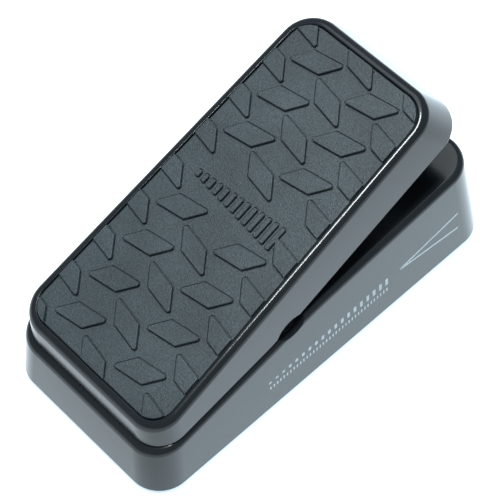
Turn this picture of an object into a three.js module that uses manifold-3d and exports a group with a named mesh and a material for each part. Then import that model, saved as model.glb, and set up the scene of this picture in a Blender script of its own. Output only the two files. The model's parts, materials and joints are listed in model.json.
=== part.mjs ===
// A small volume pedal: a cast base, a rocking treadle with a rubber mat, and
// inside it a potentiometer that the treadle turns through a thin steel band.
// Millimetres, +X to the player's right, +Y towards the toe, +Z up. The origin
// is on the floor under the middle of the base.
import * as THREE from 'three';
import { mergeVertices } from 'three/addons/utils/BufferGeometryUtils.js';
import Module from 'manifold-3d';

const wasm = await Module();
wasm.setup();

const { PI, sin, cos, tan, atan, sign } = Math;
const rad = THREE.MathUtils.degToRad;

// ---------------------------------------------------------------- dimensions
const GAP = 0.3;                 // clearance left between pieces that touch
const CUT = 1;                   // how far a cutter runs past a face
const CORNER_STEPS = 6;          // facets in a quarter turn of an outline
const ROUND = 24;                // facets round a large turned piece
const SMALL_ROUND = 16;          // facets round a small turned piece

const FOOT_HEIGHT = 2.2;         // floor to the lower edge of the base
const BASE = {
  length: 153, width: 73, corner: 11.5, wall: 2.6,
  heelHeight: 19.9, kinkHeight: 34.1, toeHeight: 41.9, kinkY: -4,
  sideDraft: rad(4.2), heelDraft: rad(7.1), toeDraft: rad(8.4),
};
const PIVOT = { y: -14, z: 34, notch: 6.2 };
const TILT = rad(20.6);          // treadle slope with the heel down
const TRAVEL = rad(14.5);        // heel down to toe down
const TREADLE = {
  crest: 20.8, heel: -52.3, toe: 78.5, halfHeel: 31.7, halfToe: 27.6,
  edge: 1.7, corner: 11, depth: 22, wall: 2.4, plate: 2.4,
  sideDraft: rad(4.7), heelDraft: rad(21.5), toeDraft: rad(15.7),
  heelGap: 0.8, toeGap: 1.1,
};
const MAT = { inset: 1.5, recess: 2.4, thick: 1.7 };
const AXLE = { radius: 3, half: 29.4, channel: 1.2, cap: 4.6, capHeight: 2.2 };
const POST = { inner: 18.5, outer: 23.5, halfY: 6.5, bushRadius: 4.6 };
const LUG = { inner: 25, outer: 29.4, radius: 5.2, swing: 8.2 };
const DRIVE = {
  radius: 30, inner: 25, pulley: 4.6, band: 0.35, angle: rad(-30),
  half: 2, margin: rad(14), clampMargin: rad(11),
};
const PLATE = { thick: 1.6, screwX: 28, heelScrewY: -65, toeScrewY: 49.5 };
const FOOT = { x: 23, heelY: -51, toeY: 60, radius: 7.2, round: 0.8 };
const JACK = {
  spacing: 19, z: 21, panelY: 71.2, panelHalfX: 33, panelHalfZ: 8.5, innerY: 68.4, faceY: 75.8,
  bore: 3.2, thread: 4.7, nutFlats: 12.4, washer: 6.9,
};
const BAND = {
  inner: DRIVE.radius + GAP, outer: DRIVE.radius + GAP + DRIVE.band,
  loopInner: DRIVE.pulley + GAP, loopOuter: DRIVE.pulley + GAP + DRIVE.band, half: 1.6,
};
const potReach = BAND.outer + GAP + BAND.loopOuter;
const POT = {
  y: PIVOT.y + potReach * cos(DRIVE.angle), z: PIVOT.z + potReach * sin(DRIVE.angle),
  shaft: 3, thread: 4.7, body: 8, bracket: -9.5, sheet: 1.5, rear: -21, round: 0.8, bushing: 6,
  lug: -16.3, lugReach: 12.5, lugPitch: 4, lugHalfX: 0.4, lugHalfZ: 0.8, nutFlats: 13, nut: 2,
};
const BOARD = {
  z: 10.5, thick: 1.6, halfX: 23, heel: 32, toe: 57, postY: 40, postX: 11, post: 3, screw: 5,
};
const WIRE = { radius: 0.6, steps: 16 };
const BUMPER = { x: 20, heelY: -58, toeY: 52, radius: 4.5, height: 2.5, round: 0.8 };

// ----------------------------------------------------------------- materials
function finish(color, roughness, metalness) {
  return new THREE.MeshStandardMaterial({ color, roughness, metalness });
}
const PAINT = finish(0x3a4046, 0.42, 0.1);
const RUBBER = finish(0x2c3133, 0.78, 0);
const STEEL = finish(0xa7abb0, 0.32, 1);
const ZINC = finish(0xb9bcc0, 0.38, 1);
const BLACK_STEEL = finish(0x1b1d1f, 0.4, 0.8);
const BRONZE = finish(0xa67c45, 0.4, 1);
const BRASS = finish(0xc2a052, 0.3, 1);
const NYLON = finish(0x17181a, 0.5, 0);
const BOARD_GREEN = finish(0x1f5a38, 0.5, 0);
const RED = finish(0x8f2018, 0.5, 0);
const PLASTIC = finish(0x202224, 0.45, 0);
const WHITE_NYLON = finish(0xd9d8d0, 0.5, 0);
const ALUMINIUM = finish(0xc6c8ca, 0.35, 1);

// -------------------------------------------------------- geometry and solids
function solidOf(geometry) {
  const bare = geometry.clone();
  bare.deleteAttribute('normal');
  bare.deleteAttribute('uv');
  const merged = mergeVertices(bare, 1e-4);
  const index = merged.index.array;
  const kept = [];
  for (let i = 0; i < index.length; i += 3) {
    const [a, b, c] = [index[i], index[i + 1], index[i + 2]];
    if (a !== b && b !== c && c !== a) kept.push(a, b, c);
  }
  const vertProperties = new Float32Array(merged.attributes.position.array);
  let triVerts = new Uint32Array(kept);
  if (signedVolume(vertProperties, triVerts) < 0) triVerts = triVerts.reverse();
  return new wasm.Manifold(new wasm.Mesh({ numProp: 3, vertProperties, triVerts }));
}

function signedVolume(points, triangles) {
  const corner = (i) => new THREE.Vector3().fromArray(points, 3 * i);
  let six = 0;
  for (let i = 0; i < triangles.length; i += 3) {
    const [a, b, c] = [corner(triangles[i]), corner(triangles[i + 1]), corner(triangles[i + 2])];
    six += a.dot(b.cross(c));
  }
  return six / 6;
}

function geometryOf(solid) {
  const mesh = solid.getMesh();
  const geometry = new THREE.BufferGeometry();
  geometry.setAttribute('position', new THREE.BufferAttribute(mesh.vertProperties, 3));
  geometry.setIndex(new THREE.BufferAttribute(mesh.triVerts, 1));
  geometry.computeVertexNormals();
  return geometry;
}

function joined(first, ...others) {
  return others.reduce((whole, part) => whole.add(part), first);
}

function cutBy(first, ...cutters) {
  return cutters.reduce((whole, cutter) => whole.subtract(cutter), first);
}

const group = new THREE.Group();

function add(parent, name, solid, material) {
  const mesh = new THREE.Mesh(geometryOf(solid), material);
  mesh.name = name;
  parent.add(mesh);
  return mesh;
}

// ------------------------------------------------------------- basic shapes
function box(x0, x1, y0, y1, z0, z1) {
  const shape = new THREE.BoxGeometry(x1 - x0, y1 - y0, z1 - z0);
  shape.translate((x0 + x1) / 2, (y0 + y1) / 2, (z0 + z1) / 2);
  return solidOf(shape);
}

// Turns a shape made along +Y so that it lies along another axis.
const TURN = {
  x: (shape) => shape.rotateZ(-PI / 2),
  y: (shape) => shape,
  z: (shape) => shape.rotateX(PI / 2),
};

function rod(axis, radius, from, to, at = [0, 0, 0], facets = ROUND) {
  const shape = new THREE.CylinderGeometry(radius, radius, to - from, facets);
  shape.translate(0, (from + to) / 2, 0);
  TURN[axis](shape);
  shape.translate(...at);
  return solidOf(shape);
}

// A turned piece: profile is a list of [radius, height] from one end to the other.
function turned(axis, profile, at = [0, 0, 0], facets = ROUND) {
  const points = profile.map(([r, h]) => new THREE.Vector2(r, h));
  const shape = new THREE.LatheGeometry(points, facets);
  TURN[axis](shape);
  shape.translate(...at);
  return solidOf(shape);
}

// A domed screw: head below the face it holds, shank above it up to its tip.
function screw(axis, face, tip, head, shank, at) {
  const height = head / 2;
  const profile = [
    [0, face - height], [0.7 * head, face - height], [head, face - height / 2], [head, face],
    [shank, face], [shank, tip - shank / 3], [0, tip],
  ];
  return turned(axis, profile, at, SMALL_ROUND);
}

function ring(axis, outer, inner, from, to, at = [0, 0, 0], facets = ROUND) {
  const profile = [[inner, from], [outer, from], [outer, to], [inner, to], [inner, from]];
  return turned(axis, profile, at, facets);
}

function hexagon(axis, acrossFlats, from, to, at) {
  return rod(axis, acrossFlats / 2 / cos(PI / 6), from, to, at, 6);
}

// The stretch from one distance to a greater one, on the left (-1) or right (1).
function span(side, near, far) {
  return side < 0 ? [-far, -near] : [near, far];
}

// A flat outline in the YZ plane, carried along X from x0 to x1.
function prism(outline, x0, x1) {
  const shape = new THREE.Shape(outline.map(([y, z]) => new THREE.Vector2(y, z)));
  const solid = new THREE.ExtrudeGeometry(shape, { depth: x1 - x0, bevelEnabled: false });
  const turn = new THREE.Matrix4().set(0, 0, 1, x0, 1, 0, 0, 0, 0, 1, 0, 0, 0, 0, 0, 1);
  solid.applyMatrix4(turn);
  return solidOf(solid);
}

// Points of a rectangle with round corners, anticlockwise.
function roundedRectangle(halfX, y0, y1, radius) {
  const centres = [
    [halfX - radius, y0 + radius, -PI / 2],
    [halfX - radius, y1 - radius, 0],
    [radius - halfX, y1 - radius, PI / 2],
    [radius - halfX, y0 + radius, PI],
  ];
  const points = [];
  for (const [x, y, start] of centres) {
    for (let i = 0; i <= CORNER_STEPS; i++) {
      const angle = start + (i / CORNER_STEPS) * (PI / 2);
      points.push(new THREE.Vector2(x + radius * cos(angle), y + radius * sin(angle)));
    }
  }
  return points;
}

// A block with round upright corners whose plan changes evenly from z0 to z1.
// A plan is { heel, toe, halfHeel, halfToe }: two ends and the half width at each.
function taperedBlock(low, high, z0, z1, radius) {
  const half = (plan, v) => plan.halfHeel + (plan.halfToe - plan.halfHeel) * v;
  const reach = low.halfHeel;
  const outline = roundedRectangle(reach, low.heel, low.toe, radius);
  const shape = new THREE.Shape(outline);
  const solid = new THREE.ExtrudeGeometry(shape, { depth: z1 - z0, bevelEnabled: false });
  const position = solid.attributes.position;
  for (let i = 0; i < position.count; i++) {
    const t = position.getZ(i) / (z1 - z0);
    const v = (position.getY(i) - low.heel) / (low.toe - low.heel);
    const u = position.getX(i) / reach;
    const heel = low.heel + (high.heel - low.heel) * t;
    const toe = low.toe + (high.toe - low.toe) * t;
    const width = half(low, v) + (half(high, v) - half(low, v)) * t;
    position.setXYZ(i, u * width, heel + (toe - heel) * v, z0 + position.getZ(i));
  }
  return solidOf(solid);
}

function shrunk(plan, by) {
  return {
    heel: plan.heel + by, toe: plan.toe - by,
    halfHeel: plan.halfHeel - by, halfToe: plan.halfToe - by,
  };
}

// ------------------------------------------------------------- base outlines
function basePlan(height) {
  const half = BASE.width / 2 - height * tan(BASE.sideDraft);
  return {
    heel: -BASE.length / 2 + height * tan(BASE.heelDraft),
    toe: BASE.length / 2 - height * tan(BASE.toeDraft),
    halfHeel: half, halfToe: half,
  };
}

const baseSlope = {
  heel: (BASE.kinkHeight - BASE.heelHeight) / (BASE.kinkY + BASE.length / 2),
  toe: (BASE.toeHeight - BASE.kinkHeight) / (BASE.length / 2 - BASE.kinkY),
};

// Height of the top face of the base above the floor.
function baseTop(y) {
  const slope = y < BASE.kinkY ? baseSlope.heel : baseSlope.toe;
  return FOOT_HEIGHT + BASE.kinkHeight + slope * (y - BASE.kinkY);
}

function underBaseTop(drop, low) {
  const end = BASE.length / 2 + CUT;
  return prism([
    [-end, low], [end, low], [end, baseTop(end) - drop],
    [BASE.kinkY, baseTop(BASE.kinkY) - drop], [-end, baseTop(-end) - drop],
  ], -BASE.width, BASE.width);
}

// ---------------------------------------------------------- treadle outlines
// The treadle is drawn in its own frame: origin on the pivot, Z square to the mat.
function toTreadle(y, z, tilt) {
  const dy = y - PIVOT.y;
  const dz = z - PIVOT.z;
  return [dy * cos(tilt) + dz * sin(tilt), dz * cos(tilt) - dy * sin(tilt)];
}

function lineThrough([y0, z0], [y1, z1]) {
  const slope = (z1 - z0) / (y1 - y0);
  return { slope, at: (y) => z0 + slope * (y - y0) };
}

// The skirt's lower edge clears the base by an even gap, with the heel down
// behind the kink and with the toe down in front of it.
function skirtLines() {
  const heelY = -BASE.length / 2;
  const toeY = BASE.length / 2;
  const heel = lineThrough(
    toTreadle(heelY, baseTop(heelY) + TREADLE.heelGap, TILT),
    toTreadle(BASE.kinkY, baseTop(BASE.kinkY - CUT / 100) + TREADLE.heelGap, TILT),
  );
  const toe = lineThrough(
    toTreadle(BASE.kinkY, baseTop(BASE.kinkY) + TREADLE.toeGap, TILT - TRAVEL),
    toTreadle(toeY, baseTop(toeY) + TREADLE.toeGap, TILT - TRAVEL),
  );
  const kinkY = (toe.at(0) - heel.at(0)) / (heel.slope - toe.slope);
  return { heel, toe, kinkY };
}
const skirt = skirtLines();

function treadlePlan(depth) {
  return {
    heel: TREADLE.heel - TREADLE.edge - depth * tan(TREADLE.heelDraft),
    toe: TREADLE.toe + TREADLE.edge + depth * tan(TREADLE.toeDraft),
    halfHeel: TREADLE.halfHeel + TREADLE.edge + depth * tan(TREADLE.sideDraft),
    halfToe: TREADLE.halfToe + TREADLE.edge + depth * tan(TREADLE.sideDraft),
  };
}

const treadle = new THREE.Group();
treadle.position.set(0, PIVOT.y, PIVOT.z);
treadle.rotation.x = TILT;
group.add(treadle);

// ------------------------------------------------------------------ the base
const plateScrews = [];
for (const x of [-PLATE.screwX, PLATE.screwX]) {
  for (const y of [PLATE.heelScrewY, PLATE.toeScrewY]) plateScrews.push([x, y]);
}
const PLATE_TOP = FOOT_HEIGHT + GAP + PLATE.thick;
const SCREW = { boss: 4, hole: 1.7, depth: 9, head: 2.9, shank: 1.4 };
const SMALL_SCREW = { head: 2.5, shank: 1.1 };
const jackX = [-JACK.spacing, 0, JACK.spacing];
const boardPosts = [-BOARD.postX, BOARD.postX];
const boardTop = BOARD.z + BOARD.thick;
const BRACKET = {
  x: -14.5, top: 33, screwY: [POT.y - 6, POT.y + 6], boss: 3.2, screw: 2, halfY: 9.5, flange: 4.5,
  below: 7.5,
};
const ARM_WINDOW = { halfX: 4.2, heel: -6, toe: 17 };
const pivotAt = [0, PIVOT.y, PIVOT.z];

function baseHousing() {
  const height = BASE.toeHeight;
  const floor = FOOT_HEIGHT;
  const outer = taperedBlock(basePlan(0), basePlan(height), floor, floor + height, BASE.corner)
    .intersect(underBaseTop(0, floor - CUT));
  const inside = (level) => {
    const plan = shrunk(basePlan(level), BASE.wall);
    return { ...plan, toe: JACK.innerY };
  };
  const cavity = taperedBlock(
    inside(-CUT), inside(height), floor - CUT, floor + height, BASE.corner - BASE.wall,
  ).intersect(underBaseTop(BASE.wall, floor - 2 * CUT));
  const bosses = plateScrews.map(([x, y]) => (
    rod('z', SCREW.boss, PLATE_TOP + GAP, baseTop(y) - CUT, [x, y, 0], SMALL_ROUND)
  ));
  for (const x of boardPosts) {
    const top = baseTop(BOARD.postY) - CUT;
    bosses.push(rod('z', BOARD.post, boardTop + GAP, top, [x, BOARD.postY, 0], SMALL_ROUND));
  }
  for (const y of BRACKET.screwY) {
    const top = baseTop(y) - CUT;
    bosses.push(rod('z', BRACKET.boss, BRACKET.top, top, [BRACKET.x, y, 0], SMALL_ROUND));
  }
  const posts = [-1, 1].map((side) => pivotPost(side));
  const channel = rod('x', AXLE.radius + AXLE.channel, -LUG.outer, LUG.outer, pivotAt);
  const body = joined(cutBy(outer, cavity, channel), ...bosses, ...posts);
  return cutBy(body, ...baseCutters());
}

function pivotPost(side) {
  const across = span(side, POST.inner, POST.outer);
  const crown = rod('x', POST.halfY, ...across, pivotAt);
  const stem = box(
    ...across, PIVOT.y - POST.halfY, PIVOT.y + POST.halfY, PIVOT.z - 1.5 * POST.halfY, PIVOT.z,
  );
  return crown.add(stem);
}

function screwCutters() {
  const cutters = plateScrews.map(([x, y]) => (
    rod('z', SCREW.hole, PLATE_TOP, PLATE_TOP + SCREW.depth, [x, y, 0], SMALL_ROUND)
  ));
  for (const x of boardPosts) {
    const at = [x, BOARD.postY, 0];
    cutters.push(rod('z', SCREW.hole - GAP, boardTop, boardTop + BOARD.screw + CUT, at, SMALL_ROUND));
  }
  for (const y of BRACKET.screwY) {
    const [low, high] = [BRACKET.top - CUT, BRACKET.top + BRACKET.screw + CUT];
    cutters.push(rod('z', SCREW.hole - GAP, low, high, [BRACKET.x, y, 0], SMALL_ROUND));
  }
  return cutters;
}

// Room for the treadle's lug, the axle's end and the bush on one side.
function pivotCutters(side) {
  const slack = 2 * GAP;
  return [
    rod('x', PIVOT.notch, ...span(side, LUG.inner - slack, BASE.width / 2 + CUT), pivotAt),
    box(
      ...span(side, LUG.inner - slack, LUG.outer + slack), PIVOT.y - LUG.swing, PIVOT.y + LUG.swing,
      PIVOT.z - LUG.swing, baseTop(PIVOT.y) + 2 * CUT,
    ),
    rod('x', POST.bushRadius + GAP, ...span(side, POST.inner - CUT, POST.outer + CUT), pivotAt),
  ];
}

function baseCutters() {
  const armWindow = box(
    -ARM_WINDOW.halfX, ARM_WINDOW.halfX, ARM_WINDOW.heel, ARM_WINDOW.toe,
    baseTop(ARM_WINDOW.heel) - 2 * BASE.wall, baseTop(ARM_WINDOW.toe) + CUT,
  );
  const panel = box(
    -JACK.panelHalfX, JACK.panelHalfX, JACK.panelY, BASE.length,
    JACK.z - JACK.panelHalfZ, JACK.z + JACK.panelHalfZ,
  );
  const jackHoles = jackX.map((x) => (
    rod('y', JACK.thread + GAP, JACK.innerY - CUT, BASE.length, [x, 0, JACK.z])
  ));
  return [...screwCutters(), ...pivotCutters(-1), ...pivotCutters(1), armWindow, panel, ...jackHoles];
}
add(group, 'base_housing', baseHousing(), PAINT);

function bottomPlate() {
  const plan = shrunk(basePlan(0), BASE.wall + GAP);
  const inside = { ...plan, toe: JACK.innerY - GAP };
  const low = FOOT_HEIGHT + GAP;
  const sheet = taperedBlock(inside, inside, low, low + PLATE.thick, BASE.corner - BASE.wall - GAP);
  const holes = plateScrews.map(([x, y]) => (
    rod('z', SCREW.hole + GAP, low - CUT, PLATE_TOP + CUT, [x, y, 0], SMALL_ROUND)
  ));
  return cutBy(sheet, ...holes);
}
add(group, 'bottom_plate', bottomPlate(), BLACK_STEEL);

function plateScrew(x, y) {
  return screw('z', FOOT_HEIGHT, PLATE_TOP + SCREW.depth - CUT, SCREW.head, SCREW.shank, [x, y, 0]);
}

function foot(x, y) {
  const { radius, round } = FOOT;
  const profile = [
    [0, 0], [radius - round, 0], [radius - round / 4, round], [radius, FOOT_HEIGHT], [0, FOOT_HEIGHT],
  ];
  return turned('z', profile, [x, y, 0]);
}
plateScrews.forEach(([x, y]) => {
  const end = y < 0 ? 'heel' : 'toe';
  const side = x < 0 ? 'left' : 'right';
  add(group, `plate_screw_${end}_${side}`, plateScrew(x, y), ZINC);
  const footY = y < 0 ? FOOT.heelY : FOOT.toeY;
  add(group, `rubber_foot_${end}_${side}`, foot(sign(x) * FOOT.x, footY), RUBBER);
});

// ---------------------------------------------------------------- the pivot
for (const side of [-1, 1]) {
  const name = side < 0 ? 'left' : 'right';
  const across = span(side, POST.inner, POST.outer);
  const bush = ring('x', POST.bushRadius, AXLE.radius + GAP, ...across, pivotAt);
  add(group, `pivot_bush_${name}`, bush, BRONZE);
}

add(treadle, 'pivot_axle', rod('x', AXLE.radius, -AXLE.half, AXLE.half), STEEL);

function axleCap(side) {
  const start = AXLE.half + GAP;
  const { cap, capHeight } = AXLE;
  const dome = [1, 0.85, 0.52, 0].map((r, i) => [cap * r, start + capHeight * [0.36, 0.68, 0.9, 1][i]]);
  const solid = turned('x', [[0, start], [cap, start], ...dome]);
  return side > 0 ? solid : solid.mirror([1, 0, 0]);
}
add(treadle, 'axle_cap_left', axleCap(-1), NYLON);
add(treadle, 'axle_cap_right', axleCap(1), NYLON);

// -------------------------------------------------------------- the treadle
const TREADLE_TOP = TREADLE.crest;
const matFloor = TREADLE_TOP - MAT.recess;
const ARM_SCREW = { x: 5.5, ys: [9, 26] };
const ARM_PAD = { left: -4, right: 10, heel: 4, toe: 31, deep: 4, flange: 2.4 };
const padBottom = matFloor - TREADLE.plate - ARM_PAD.deep;
const heelStop = toTreadle(BUMPER.heelY, baseTop(BUMPER.heelY), TILT);
const toeStop = toTreadle(BUMPER.toeY, baseTop(BUMPER.toeY), TILT - TRAVEL);

function treadleCasting() {
  const low = TREADLE_TOP - TREADLE.depth;
  const [lowPlan, topPlan] = [treadlePlan(TREADLE.depth), treadlePlan(0)];
  const outer = taperedBlock(lowPlan, topPlan, low, TREADLE_TOP, TREADLE.corner);
  const inner = taperedBlock(
    shrunk(lowPlan, TREADLE.wall), shrunk(topPlan, TREADLE.wall), low - CUT / 2,
    matFloor - TREADLE.plate, TREADLE.corner - TREADLE.wall,
  );
  const far = BASE.length;
  const above = prism([
    [-far, skirt.heel.at(-far)], [skirt.kinkY, skirt.heel.at(skirt.kinkY)],
    [far, skirt.toe.at(far)], [far, far], [-far, far],
  ], -far, far);
  const matPlan = shrunk(topPlan, TREADLE.edge + MAT.inset - GAP);
  const round = TREADLE.corner - MAT.inset;
  const recess = taperedBlock(matPlan, matPlan, matFloor, TREADLE_TOP + CUT, round);
  const shell = outer.subtract(inner).intersect(above).subtract(recess);
  const lugs = [-1, 1].map((side) => treadleLug(side));
  const pad = box(
    ARM_PAD.left, ARM_PAD.right, ARM_PAD.heel, ARM_PAD.toe, padBottom, matFloor - TREADLE.plate / 2,
  );
  const notches = [-1, 1].map((side) => (
    rod('x', PIVOT.notch, ...span(side, LUG.outer + GAP / 2, BASE.width))
  ));
  const bore = rod('x', AXLE.radius + GAP, -AXLE.half - CUT, AXLE.half + CUT);
  const threads = ARM_SCREW.ys.map((y) => (
    rod('z', SCREW.hole, padBottom - CUT, matFloor - CUT, [ARM_SCREW.x, y, 0], SMALL_ROUND)
  ));
  const heelPosts = stopPosts(heelStop, skirt.heel, TREADLE.heelGap);
  const toePosts = stopPosts(toeStop, skirt.toe, TREADLE.toeGap);
  const body = cutBy(joined(shell, pad, heelPosts, toePosts), ...notches, ...threads);
  return joined(body, ...lugs).subtract(bore);
}

// Two posts under the treadle whose ends meet the rubber bumpers on the base.
function stopPosts([y], line, edgeGap) {
  const far = BASE.length;
  const rise = BUMPER.height + 2 * GAP - edgeGap;
  const above = prism([
    [-far, line.at(-far) + rise], [far, line.at(far) + rise], [far, far], [-far, far],
  ], -far, far);
  const posts = [-BUMPER.x, BUMPER.x].map((x) => (
    rod('z', BUMPER.radius - CUT / 2, -far, matFloor - TREADLE.plate / 2, [x, y, 0], SMALL_ROUND)
  ));
  return joined(...posts).intersect(above);
}

function treadleLug(side) {
  const across = span(side, LUG.inner, LUG.outer);
  const eye = rod('x', LUG.radius, ...across);
  const stem = box(...across, -LUG.radius, LUG.radius, 0, matFloor - TREADLE.plate / 2);
  return eye.add(stem);
}
add(treadle, 'treadle_casting', treadleCasting(), PAINT);

function treadMat() {
  const plan = shrunk(treadlePlan(0), TREADLE.edge + MAT.inset);
  const low = matFloor + GAP;
  return taperedBlock(plan, plan, low, low + MAT.thick, TREADLE.corner - MAT.inset - GAP);
}
add(treadle, 'tread_mat', treadMat(), RUBBER);

// Rubber discs on the base, square to its sloping top.
function bumper(x, y, slope, name) {
  const seat = new THREE.Group();
  seat.position.set(x, y, baseTop(y));
  seat.rotation.x = atan(slope);
  group.add(seat);
  const { radius, height, round } = BUMPER;
  const top = GAP + height;
  const profile = [[0, GAP], [radius, GAP], [radius, top - round], [radius - round, top], [0, top]];
  add(seat, name, turned('z', profile), RUBBER);
}
for (const side of [-1, 1]) {
  const name = side < 0 ? 'left' : 'right';
  bumper(side * BUMPER.x, BUMPER.heelY, baseSlope.heel, `bumper_heel_${name}`);
  bumper(side * BUMPER.x, BUMPER.toeY, baseSlope.toe, `bumper_toe_${name}`);
}

// ---------------------------------------------------- the arm and its band
// Angles round the pivot, in the treadle's frame, that the pulley runs between.
const contact = { low: DRIVE.angle - TILT, high: DRIVE.angle - TILT + TRAVEL };

function arcBand(inner, outer, from, to, x0, x1) {
  const steps = 10;
  const along = (radius, t) => {
    const angle = from + (to - from) * t;
    return [radius * cos(angle), radius * sin(angle)];
  };
  const out = [];
  const back = [];
  for (let i = 0; i <= steps; i++) {
    out.push(along(outer, i / steps));
    back.unshift(along(inner, i / steps));
  }
  return prism([...out, ...back], x0, x1);
}

const CLAMP = { hole: 1.1, length: 3.4, shank: 0.8, head: 1.5, height: 1.1 };
const clampAngles = [contact.low - DRIVE.clampMargin, contact.high + DRIVE.clampMargin];

// A thing made along +Z at a distance from the pivot, swung to an angle.
function swung(solid, angle) {
  return solid.rotate([THREE.MathUtils.radToDeg(angle) - 90, 0, 0]);
}

function clampHole(from, angle) {
  const hole = rod('z', CLAMP.hole, from, BAND.outer + CUT, [0, 0, 0], SMALL_ROUND);
  return swung(hole, angle);
}

function driveArm() {
  const from = contact.low - DRIVE.margin;
  const to = contact.high + DRIVE.margin;
  const sector = arcBand(DRIVE.inner, DRIVE.radius, from, to, -DRIVE.half, DRIVE.half);
  const top = padBottom - GAP;
  const low = top - ARM_PAD.flange;
  const neck = prism([[13, top], [17, -20], [26.5, -10.5], [23, top]], -DRIVE.half, DRIVE.half);
  const flange = box(
    -DRIVE.half, ARM_PAD.right - CUT, ARM_PAD.heel + CUT, ARM_PAD.toe - CUT, low, top,
  );
  const holes = ARM_SCREW.ys.map((y) => (
    rod('z', SCREW.hole, low - CUT, top + CUT, [ARM_SCREW.x, y, 0], SMALL_ROUND)
  ));
  const clampHoles = clampAngles.map((angle) => (
    clampHole(DRIVE.radius - CLAMP.length, angle)
  ));
  return cutBy(joined(sector, neck, flange), ...holes, ...clampHoles);
}
add(treadle, 'drive_arm', driveArm(), ALUMINIUM);

ARM_SCREW.ys.forEach((y, i) => {
  const face = padBottom - 2 * GAP - ARM_PAD.flange;
  const tip = padBottom + ARM_PAD.deep;
  const solid = screw('z', face, tip, SCREW.head, SCREW.shank, [ARM_SCREW.x, y, 0]);
  add(treadle, `arm_screw_${i + 1}`, solid, ZINC);
});

function bandStrip() {
  const from = contact.low - DRIVE.margin;
  const to = contact.high + DRIVE.margin;
  const strip = arcBand(BAND.inner, BAND.outer, from, to, -BAND.half, BAND.half);
  const holes = clampAngles.map((angle) => (
    clampHole(DRIVE.radius, angle)
  ));
  return cutBy(strip, ...holes);
}
add(treadle, 'drive_band', bandStrip(), STEEL);

clampAngles.forEach((angle, i) => {
  const seat = BAND.outer + GAP;
  const { length, shank, head, height } = CLAMP;
  const profile = [
    [0, seat - length], [shank, seat - length], [shank, seat], [head, seat],
    [head, seat + 0.6 * height], [0.7 * head, seat + height], [0, seat + height],
  ];
  const solid = swung(turned('z', profile, [0, 0, 0], SMALL_ROUND), angle);
  add(treadle, `band_clamp_screw_${i + 1}`, solid, ZINC);
});

// ------------------------------------------------------- the potentiometer
const potAt = [0, POT.y, POT.z];
const potLugs = [-1, 0, 1].map((i) => POT.z + i * POT.lugPitch);
const PULLEY = { half: 3, rim: 0.5, flange: 6.2, hub: 5.4, hubLength: 3, setScrew: 0.9 };

const setScrewAt = [PULLEY.half + PULLEY.hubLength / 2, POT.y, POT.z];

const loop = ring('x', BAND.loopOuter, BAND.loopInner, -BAND.half, BAND.half, potAt);
add(group, 'drive_band_loop', loop, STEEL);

function drivePulley() {
  const { half, rim, flange, hub } = PULLEY;
  const grip = BAND.half + GAP;
  const bore = POT.shaft + GAP;
  const end = half + PULLEY.hubLength;
  const profile = [
    [bore, -half], [flange, -half], [flange, rim - half], [DRIVE.pulley, -grip],
    [DRIVE.pulley, grip], [flange, half - rim], [flange, half], [hub, half], [hub, end],
    [bore, end], [bore, -half],
  ];
  const tapping = rod('z', PULLEY.setScrew + GAP, 0, flange, setScrewAt, SMALL_ROUND);
  return turned('x', profile, potAt).subtract(tapping);
}
add(group, 'drive_pulley', drivePulley(), BRASS);

const setScrew = rod('z', PULLEY.setScrew, POT.shaft + GAP, PULLEY.hub + GAP, setScrewAt, SMALL_ROUND);
add(group, 'pulley_set_screw', setScrew, BLACK_STEEL);

const shaftEnd = PULLEY.half + PULLEY.hubLength + 2 * GAP;
add(group, 'pot_shaft', rod('x', POT.shaft, POT.lug + CUT, shaftEnd, potAt), ALUMINIUM);

function potBody() {
  const front = POT.bracket - GAP;
  const end = front + POT.bushing;
  const profile = [
    [0, POT.rear], [POT.body - POT.round, POT.rear], [POT.body, POT.rear + POT.round],
    [POT.body, front], [POT.thread, front], [POT.thread, end], [0, end],
  ];
  const can = turned('x', profile, potAt);
  const lugs = potLugs.map((z) => box(
    POT.lug - POT.lugHalfX, POT.lug + POT.lugHalfX, POT.y, POT.y + POT.lugReach,
    z - POT.lugHalfZ, z + POT.lugHalfZ,
  ));
  const bore = rod('x', POT.shaft + GAP, POT.lug, end + CUT, potAt);
  return joined(can, ...lugs).subtract(bore);
}
add(group, 'pot_body', potBody(), ZINC);

function potBracket() {
  const x0 = POT.bracket;
  const x1 = POT.bracket + POT.sheet;
  const top = BRACKET.top - GAP;
  const { halfY, below, flange } = BRACKET;
  const upright = box(x0, x1, POT.y - halfY, POT.y + halfY, POT.z - below, top);
  const ledge = box(BRACKET.x - flange, x1, POT.y - halfY, POT.y + halfY, top - POT.sheet, top);
  const hole = rod('x', POT.thread + GAP, x0 - CUT, x1 + CUT, potAt);
  const screwHoles = BRACKET.screwY.map((y) => (
    rod('z', SCREW.hole, top - POT.sheet - CUT, top + CUT, [BRACKET.x, y, 0], SMALL_ROUND)
  ));
  return cutBy(upright.add(ledge), hole, ...screwHoles);
}
add(group, 'pot_bracket', potBracket(), ZINC);

BRACKET.screwY.forEach((y, i) => {
  const face = BRACKET.top - 2 * GAP - POT.sheet;
  const { head, shank } = SMALL_SCREW;
  const solid = screw('z', face, BRACKET.top + BRACKET.screw, head, shank, [BRACKET.x, y, 0]);
  add(group, `bracket_screw_${i + 1}`, solid, ZINC);
});

function potNut() {
  const start = POT.bracket + POT.sheet + GAP;
  const nut = hexagon('x', POT.nutFlats, start, start + POT.nut, potAt);
  return nut.subtract(rod('x', POT.thread + GAP, start - CUT, start + POT.nut + CUT, potAt));
}
add(group, 'pot_nut', potNut(), ZINC);

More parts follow.
